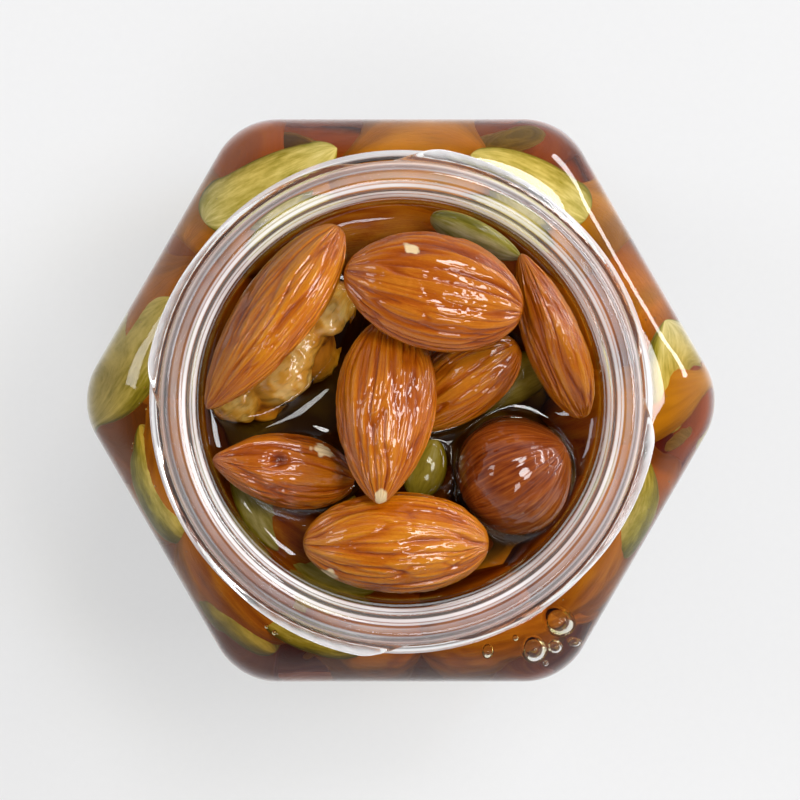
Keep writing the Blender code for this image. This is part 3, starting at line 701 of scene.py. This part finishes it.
# Sunk pieces seen through the mouth and the shoulder:
# kind, x, y, z, heading of the tip, pitch, roll, length, width, thickness.
shown = (
    ("almond", -3.4, 19.4, 61.0, 8, 0, 20, 19.6, 10.2, 7.4),
    ("almond", -14.0, -15.4, 60.2, 145, -8, 0, 19.0, 10.5, 7.4),
    ("almond", 20.0, -0.6, 56.6, 100, 0, -20, 18.0, 10.0, 7.2),
    ("almond", 1.6, -9.3, 57.6, 170, 0, 0, 16.0, 9.5, 6.5),
    ("almond", 13.5, 10.5, 58.0, 130, 0, 0, 21.0, 11.5, 7.4),
    ("almond", 0.0, 5.0, 58.4, 75, 0, 0, 20.0, 11.0, 7.4),
    ("almond", 1.5, -17.5, 59.6, 5, 0, 0, 19.0, 10.5, 7.2),
    ("seed", -16.8, -12.6, 62.4, 120, 0, 30, 12.0, 6.0, 2.8),
    ("seed", 13.0, 2.6, 60.6, 20, 0, -10, 12.5, 6.4, 2.8),
    ("seed", -8.6, -19.6, 62.6, 155, 0, 10, 12.5, 6.4, 2.8),
    ("seed", -8.4, -15.6, 61.6, 60, 0, 50, 11.0, 6.0, 2.8),
    ("almond", 1.6, 24.4, 58.0, 178, 0, 30, 22.0, 11.4, 7.8),
    ("almond", 15.6, 21.4, 57.4, 150, 0, 20, 20.0, 11.0, 7.8),
    ("almond", -14.4, 21.6, 57.0, 30, 0, -20, 20.0, 11.0, 7.8),
    ("almond", 26.0, -1.0, 57.0, 20, 0, 10, 19.0, 11.0, 7.6),
    ("almond", 20.6, -17.4, 57.0, 60, 0, -25, 21.0, 11.4, 7.8),
    ("almond", 11.0, -25.0, 57.4, 10, 0, -30, 20.0, 11.0, 7.6),
    ("almond", -6.0, -24.4, 57.0, 172, 0, 25, 20.0, 11.0, 7.8),
    ("almond", -20.0, -20.4, 57.4, 128, 0, 25, 20.0, 11.0, 7.6),
    ("almond", -26.0, -6.0, 56.4, 100, 0, 30, 21.0, 11.0, 7.8),
    ("almond", -24.2, 8.6, 56.8, 60, 0, -25, 21.0, 11.4, 7.8),
    ("seed", -14.8, 24.6, 60.4, 30, 0, -32, 17.0, 8.0, 2.8),
    ("seed", 14.6, 24.6, 60.4, 150, 0, 32, 15.0, 8.0, 2.8),
    ("seed", 31.6, 3.4, 57.4, 95, 20, 68, 13.0, 7.0, 2.8),
    ("seed", 27.4, -13.4, 57.1, 62, 0, -40, 14.0, 7.4, 2.8),
    ("seed", -9.8, -25.8, 59.2, 170, 0, 30, 14.5, 7.6, 2.8),
    ("seed", -19.4, -24.4, 57.6, 130, 0, 40, 12.5, 7.0, 2.8),
    ("seed", -28.0, -10.2, 57.1, 118, 0, 45, 15.0, 7.6, 2.8),
    ("seed", -31.0, 5.6, 57.4, 62, 12, -60, 16.0, 8.0, 2.8),
)


def wallPlace(share, flats):
    # A point and the outward heading on a plain hexagon, at a share of the way round.
    side, along = divmod(share * 6, 1)
    ends = [np.array([math.cos(t), math.sin(t)]) * flats / math.cos(math.pi / 6)
            for t in (side * math.pi / 3, (side + 1) * math.pi / 3)]
    return ends[0] + (ends[1] - ends[0]) * along, math.degrees((side + 0.5) * math.pi / 3)


def leaning(facing, spin):
    # Lays a piece flat against the wall that faces this way, its length turned by the spin.
    whole = Matrix.Rotation(math.radians(facing), 3, "Z") @ Matrix.Rotation(math.pi / 2, 3, "Y")
    return np.array(whole @ Matrix.Rotation(math.radians(spin), 3, "Z"))


def rowPieces(rng):
    found = []
    wall = jar["flats"] - jar["wall"]
    for row in range(heap["rows"]):
        for k in range(heap["perRow"]):
            share = ((k + 0.5 * (row % 2) + rng.uniform(-0.12, 0.12)) / heap["perRow"]) % 1
            (x, y), facing = wallPlace(share, wall - heap["nutIn"])
            draw = rng.uniform()
            kind = "almond" if draw < 0.70 else "hazelnut" if draw < 0.84 else "walnut"
            grow = rng.uniform(0.90, 1.06)
            size = tuple(grow * side for side in kinds[kind]["size"])
            spin = rng.uniform(-32, 32) + 180 * (rng.uniform() < 0.5)
            z = heap["rowFoot"] + heap["rowStep"] * row + rng.uniform(-1.2, 1.2)
            found.append([kind, np.array([x, y, z]), leaning(facing, 90 + spin), size])
    for k in range(heap["lowOnes"]):
        turn = math.radians(k * 60 + 15) if k else 0.0
        out = heap["lowOut"] if k else 0.0
        size = tuple(rng.uniform(0.88, 1.0) * side for side in kinds["almond"]["size"])
        rotation = turned(math.degrees(turn) + 90 + rng.uniform(-25, 25), 0, rng.uniform(-12, 12))
        place = np.array([out * math.cos(turn), out * math.sin(turn), heap["lowZ"]])
        found.append(["almond", place, rotation, size])
    return found


def seedPieces(rng):
    found = []
    wall = jar["flats"] - jar["wall"]
    for row in range(heap["rows"]):
        for k in range(heap["seedsPerRow"]):
            share = ((k + 0.5 * (row % 2) + 0.3 + rng.uniform(-0.1, 0.1)) / heap["seedsPerRow"]) % 1
            (x, y), facing = wallPlace(share, wall - heap["seedIn"])
            rotation = leaning(facing, rng.uniform(0, 360))
            z = heap["rowFoot"] + heap["rowStep"] * (row + 0.5)
            found.append(["seed", np.array([x, y, z]), rotation, kinds["seed"]["size"]])
    return found


def ballsOf(entry):
    # Three balls along a piece that stand for it while the heap settles.
    _, place, rotation, size = entry
    radius = (size[1] + size[2]) / 4
    reach = max(size[0] / 2 - radius, 0)
    return place + np.outer((-reach, 0, reach), rotation[:, 0]), np.array((0.8, 1.0, 0.75)) * radius


def heldByWall(entry, shape):
    # Moves a piece that reaches into the wall back inside, by the way that it passes it most. A low
    # piece that stays clear of the wall is drawn nearer to it by a short step.
    turns = np.radians(np.arange(0, 360, 10))
    ways = np.stack([np.cos(turns), np.sin(turns)], axis=1)
    flats, corner = jar["flats"] - jar["wall"], jar["corner"] - jar["wall"]
    nearest = (turns + math.pi / 6) % (math.pi / 3) - math.pi / 6
    limit = (flats - corner) / math.cos(math.pi / 6) * np.cos(nearest) + corner - heap["gap"]
    past = ((shape[:, :2] + entry[1][:2]) @ ways.T).max(0) - limit
    worst = int(past.argmax())
    low = entry[1][2] < heap["rowFoot"] + heap["rowStep"] * heap["rows"]
    entry[1][:2] -= max(past[worst], -heap["pull"] if low else 0) * ways[worst]


def roughForm(kind, size, rings, across):
    body = plainForm(kind, size, rings, across)[2].reshape(-1, 3)
    return np.vstack([[-size[0] / 2, 0, 0], body, [size[0] / 2, 0, 0]])


def settle(pieces, steps):
    # Pushes pieces that overlap apart, and back inside the wall, until little is left to move.
    shapes = [roughForm(k, size, 8, 10) @ rotation.T for k, _, rotation, size in pieces]
    owner = np.repeat(np.arange(len(pieces)), 3)
    for _ in range(steps):
        balls = [ballsOf(entry) for entry in pieces]
        centres = np.vstack([c for c, _ in balls])
        radii = np.concatenate([r for _, r in balls])
        apart = centres[:, None] - centres[None]
        far = np.sqrt((apart ** 2).sum(-1)) + 1e-9
        over = np.clip(radii[:, None] + radii[None] - far, 0, None)
        over[owner[:, None] == owner[None]] = 0
        push = (apart / far[..., None] * over[..., None]).sum(1) * 0.25
        for i, entry in enumerate(pieces):
            entry[1] = entry[1] + push[owner == i].sum(0)
            heldByWall(entry, shapes[i])
            heights = shapes[i][:, 2] + entry[1][2]
            lift = max(jar["base"] + heap["baseGap"] - heights.min(), 0)
            entry[1][2] += lift - max(heights.max() - heap["rowTop"], 0)
    return pieces


def heapPieces():
    rng = np.random.default_rng(heap["seed"])
    pieces = settle(rowPieces(rng) + seedPieces(rng), heap["steps"])
    for kind, x, y, z, heading, pitch, roll, *size in shown:
        entry = [kind, np.array([x, y, z]), turned(heading, pitch, roll), tuple(size)]
        for _ in range(4):
            heldByWall(entry, roughForm(kind, entry[3], 8, 10) @ entry[2].T)
        pieces.append(entry)
    return pieces


heapNames = {"almond": "sunk_almonds", "hazelnut": "sunk_hazelnuts", "walnut": "sunk_walnuts",
             "seed": "sunk_seeds"}


def sunkTone(kind, number, place):
    # How red an almond is, most so at the bottom of the photographed view, or how pale a seed is.
    if kind != "seed":
        return (number * 0.37) % 0.5 + 0.45 * (place[1] < -14)
    return 0.9 if np.hypot(place[0], place[1]) > jar["boreR"] and place[1] > -22 else 0.3


def sunkMarks(points, own, tone):
    # Painted shade makes the pieces under the bore dark, less so near the honey's surface. Outside it they
    # get a painted glow; their colour and glow are painted brighter towards +y, and the glow towards +x,
    # as light falling from there.
    outside = smooth((np.hypot(points[:, 0], points[:, 1]) - jar["boreR"] - 0.4) / 2.4)
    paintedDepthShade = 0.26 + 0.24 * smooth((points[:, 2] - honey["level"] + 3.6) / 3)
    # Painted light: brighter towards +y
    back = smooth(points[:, 1] / 40 + 0.85)
    # Painted light: the glow is stronger towards +x
    right = 1 + 0.35 * smooth((points[:, 0] - 12) / 12)
    return {
        **own,
        "tone": np.full(len(points), tone),
        "chip": np.zeros(len(points)),
        "shade": paintedDepthShade + (1 - paintedDepthShade) * outside * (0.75 + 0.25 * back),
        "glow": outside * (0.25 + 0.75 * back) * right,
        "bare": aboveHoney(points),
    }


def buildHeap(finishes):
    # The pieces of each kind are one mesh, over a core of their own.
    pieces = heapPieces()
    print("heap:", len(pieces), "pieces")
    for kind, name in heapNames.items():
        points, faces, marks, start = [], [], [], 0
        for number, (sort, place, rotation, size) in enumerate(pieces):
            if sort != kind:
                continue
            close = number >= len(pieces) - len(shown)
            rings, across = (26, 30) if kind == "seed" else (44, 54) if close else (26, 34)
            body, own = nutPoints(kind, size, rings, across, 200 + 7 * number, 0.6)
            points.append(body @ rotation.T + place)
            faces += skinFaces(rings - 1, across, start)
            start += len(body)
            marks.append(sunkMarks(points[-1], own, sunkTone(kind, number, place)))
        joined = {key: np.concatenate([own[key] for own in marks]) for key in marks[0]}
        makePiece(name, np.vstack(points), faces, finishes[kind], ["nut_heap"], joined)
    buildCore()


def buildCore():
    # A hexagonal column whose side is pushed in and out by noise the size of nuts.
    flats, corner = jar["flats"] - jar["wall"] - heap["coreIn"], heap["coreR"]
    foot, crown = heap["foot"], heap["top"]
    rows = [(hexRing(flats * k, corner * k), foot) for k in (0.3, 0.6, 0.85)]
    rows += [(hexRing(flats, corner), z) for z in np.linspace(foot, crown, 60)]
    rows += [(hexRing(flats * k, corner * k), crown) for k in np.linspace(0.97, 0.1, 24)]
    points = asPoints(rows, (0, 0, foot), (0, 0, crown))
    lump = noise(points * 0.16, 7) * 0.7 + noise(points * 0.42, 8) * 0.3
    middle = np.array([0, 0, (foot + crown) / 2])
    points = middle + (points - middle) * (1 - heap["lump"] * lump)[:, None]
    # Painted shade mark: 0 under the bore near the crown, where the core is painted dark; 1 elsewhere,
    # where it gets a painted glow
    outside = smooth((np.hypot(points[:, 0], points[:, 1]) - 21) / 3 + (points[:, 2] < crown - 8))
    faces = skinFaces(len(rows), jar["steps"])
    makePiece("sunk_core", points, faces, coreFinish(), ["nut_heap"], {"outside": outside})


# The honey

honey = dict(level=64.3, into=0.1, lap=0.4, wallRise=1.0, wallReach=0.9, nutRise=0.8, nutReach=0.7,
             rings=112)


def outlineGap(x, y, z, name):
    # How far a point lies outside a top piece's section, in millimetres, less than 0 inside it.
    kind, size = top[name][0], top[name][6]
    rotation, place = topPlace(name)
    local = (np.stack([x, y, z], -1) - place) @ rotation
    s = np.clip(local[..., 0] / size[0] + 0.5, 0.02, 0.98)
    half = halfWidth(s, kind)
    radial = np.hypot(local[..., 1] / (size[1] / 2 * half), local[..., 2] / (size[2] / 2 * half))
    past = np.clip(np.abs(local[..., 0]) - size[0] * 0.48, 0, None)
    return (radial - 1) * half * (size[1] + size[2]) / 4 + past


def honeyHeight(x, y):
    # A level surface that climbs the glass and each nut by a rise that fades with the way from it.
    fromWall = jar["boreR"] + honey["into"] - np.hypot(x, y)
    rise = honey["wallRise"] * np.exp(-fromWall / honey["wallReach"])
    for name in top:
        gap = np.clip(outlineGap(x, y, np.full(x.shape, honey["level"]), name), 0, None)
        rise = np.maximum(rise, honey["nutRise"] * np.exp(-gap / honey["nutReach"]))
    return honey["level"] + rise


# Air bubbles under the shoulder, each by x, y and its radius, and the ranges of many tiny ones
bubbles = (
    (18.1, -25.4, 1.75), (15.3, -28.5, 1.5), (17.6, -28.2, 0.85), (19.3, -27.5, 0.6), (10.1, -28.8, 0.75),
    (13.3, -27.5, 0.36), (16.6, -30.0, 0.35), (-14.7, -26.9, 0.3), (-15.6, -26.2, 0.25))
tiny = dict(count=90, out=(25.5, 31.5), radius=(0.05, 0.13), under=(0.25, 1.2), seed=5)


def shoulderHeight(x, y):
    # The height of the inner shoulder over a point: its share of the way from the wall to the bore.
    turn = math.atan2(y, x)
    nearest = (turn + math.pi / 6) % (math.pi / 3) - math.pi / 6
    wall = (jar["flats"] - jar["wall"]) / max(math.cos(math.pi / 6 - abs(nearest)), 0.5)
    share = np.clip((wall - math.hypot(x, y)) / (wall - jar["boreR"]), 0, 1)
    top, foot = jar["wallTop"] - jar["wall"] * 0.5, jar["neckFoot"] - jar["wall"] * 0.9
    return top + (foot - top) * math.sin(math.acos(1 - share))


def bubblePoints(start):
    # Balls whose faces point to their own middle, because they are hollows in the honey.
    s, turn = np.meshgrid(np.arange(1, 16) / 16 * math.pi, np.arange(24) / 12 * math.pi, indexing="ij")
    ball = np.stack([-np.cos(s), np.sin(s) * np.cos(turn), np.sin(s) * np.sin(turn)], -1).reshape(-1, 3)
    ball = np.vstack([[[-1, 0, 0]], ball, [[1, 0, 0]]])
    rng = np.random.default_rng(tiny["seed"])
    out, turn, radii = (rng.uniform(*ends, tiny["count"])
                        for ends in (tiny["out"], (0, 2 * math.pi), tiny["radius"]))
    small = np.stack([out * np.cos(turn), out * np.sin(turn), radii], 1)
    points, faces = [], []
    for number, (x, y, radius) in enumerate(np.vstack([bubbles, small])):
        under = tiny["under"][0] if number < len(bubbles) else rng.uniform(*tiny["under"])
        points.append(ball * radius + (x, y, shoulderHeight(x, y) - radius - under))
        faces += [face[:, ::-1] for face in skinFaces(15, 24, start + number * len(ball))]
    return np.vstack(points), faces


def buildHoney():
    into = honey["into"]
    flats, corner = jar["flats"] - jar["wall"] + into, jar["corner"] - jar["wall"] + into
    radius = jar["boreR"] + into
    wall = innerRows(hexRing(flats, corner), roundRing(radius), into)
    wall = [(ring, z) for ring, z in wall if z < honey["level"] - honey["lap"]][::-1]
    surface = []
    for share in np.linspace(1, 0, honey["rings"], endpoint=False):
        ring = roundRing(radius * share)
        surface.append((ring, honeyHeight(ring[:, 0], ring[:, 1])))
    rows = wall + surface
    middle = honeyHeight(np.zeros(1), np.zeros(1))[0]
    points = asPoints(rows, (0, 0, jar["base"] - into), (0, 0, middle))
    balls, hollows = bubblePoints(len(points))
    faces = skinFaces(len(rows), jar["steps"]) + hollows
    touching = np.zeros(len(points) + len(balls))
    touching[:1 + len(wall) * jar["steps"]] = 1
    points = np.vstack([points, balls])
    makePiece("honey", points, faces, honeyFinish(), marks={"touching": touching})
    print("honey:", len(rows), "rings")


# Floor, light and camera

def lookFrom(eye, target, up):
    # The place and turn of something at eye that looks at target with this side up.
    back = (Vector(eye) - Vector(target)).normalized()
    right = Vector(up).cross(back).normalized()
    turn = Matrix((right, back.cross(right), back)).transposed().to_4x4()
    turn.translation = Vector(eye)
    return turn


floorHalf = 3.0     # metres
floorLook = {"Roughness": 0.75, "Specular IOR Level": 0.2, "Emission Color": (1, 1, 1, 1),
             "Emission Strength": 0.50}
floorShades = ((0.0, "9A9A9B"), (1.0, "9E9E9F"))


def buildFloor():
    mesh = bpy.data.meshes.new("floor")
    corners = [(x * floorHalf, y * floorHalf, 0) for x, y in ((-1, -1), (1, -1), (1, 1), (-1, 1))]
    mesh.from_pydata(corners, [], [(0, 1, 2, 3)])
    made, shader, paint = newFinish("paleFloor", floorLook)
    plug(placeOn(paint).clouds(900, 2.0).ramp(*floorShades), shader, "Base Color")
    mesh.materials.append(made)
    floor = bpy.data.objects.new("floor", mesh)
    bpy.context.scene.collection.objects.link(floor)


# Lamps: heading and height in degrees, how far away, width and height in metres, and watts
lights = {
    "main": (12, 66, 2.0, 0.52, 0.50, 11.0),
    "upper": (62, 68, 2.0, 0.46, 0.40, 9.0),
    "streak": (33, 27, 1.8, 1.35, 0.30, 19.0),
    "left": (165, 50, 2.0, 0.50, 0.50, 4.6),
    "low": (290, 74, 2.0, 0.40, 0.40, 4.2),
}
lampTarget = (0, 0, 0.06)

# How bright the room is, by the sine of the height above the horizon
room = ((0.0, 0.95), (0.35, 0.85), (0.6, 0.42), (0.8, 0.10), (1.0, 0.04))


def buildLight():
    for name, (heading, height, far, width, tall, watts) in lights.items():
        lamp = bpy.data.lights.new(name, "AREA")
        lamp.shape, lamp.size, lamp.size_y, lamp.energy = "RECTANGLE", width, tall, watts
        made = bpy.data.objects.new(name, lamp)
        turn = Matrix.Rotation(math.radians(heading), 3, "Z")
        rise = Matrix.Rotation(-math.radians(height), 3, "Y")
        made.matrix_world = lookFrom(turn @ rise @ Vector((far, 0, 0)), lampTarget, (0, 0, 1))
        bpy.context.scene.collection.objects.link(made)
    world = bpy.data.worlds.new("studio")
    bpy.context.scene.world = world
    world.use_nodes = True
    paint = Paint(world.node_tree)
    way = paint.node("ShaderNodeTexCoord", {}, {}, "Generated")
    height = paint.node("ShaderNodeSeparateXYZ", {}, {0: way}, 2)
    stops = [(place, (value, value, value)) for place, value in room]
    shade = paint.node("ShaderNodeValToRGB", {"stops": stops}, {0: height})
    plug(shade, world.node_tree.nodes["Background"], "Color")


# Where the camera stands and what it looks at, in metres, and its lens and sensor in millimetres
view = dict(eye=(-0.0012, 0.0069, 0.580), target=(-0.00014, 0.00027, 0.076), lens=198.2, sensor=36.0)


def buildCamera():
    made = bpy.data.cameras.new("camera")
    made.lens = view["lens"]
    made.sensor_width = view["sensor"]
    camera = bpy.data.objects.new("camera", made)
    camera.matrix_world = lookFrom(view["eye"], view["target"], (0, 1, 0))
    bpy.context.scene.collection.objects.link(camera)
    bpy.context.scene.camera = camera


def setLook():
    scene = bpy.context.scene
    scene.view_settings.view_transform = "Standard"
    scene.cycles.max_bounces = 20
    scene.cycles.transmission_bounces = 20
    scene.cycles.transparent_max_bounces = 20
    scene.cycles.caustics_refractive = False
    scene.cycles.caustics_reflective = False


buildCamera()
buildFloor()
buildLight()
setLook()
buildGlass()
almondSkin = almondFinish()
finishes = {"almond": almondSkin, "plumpAlmond": almondSkin, "hazelnut": hazelnutFinish(),
            "walnut": walnutFinish(), "seed": kernelFinish()}
buildTop(finishes)
buildHeap(finishes)
buildHoney()
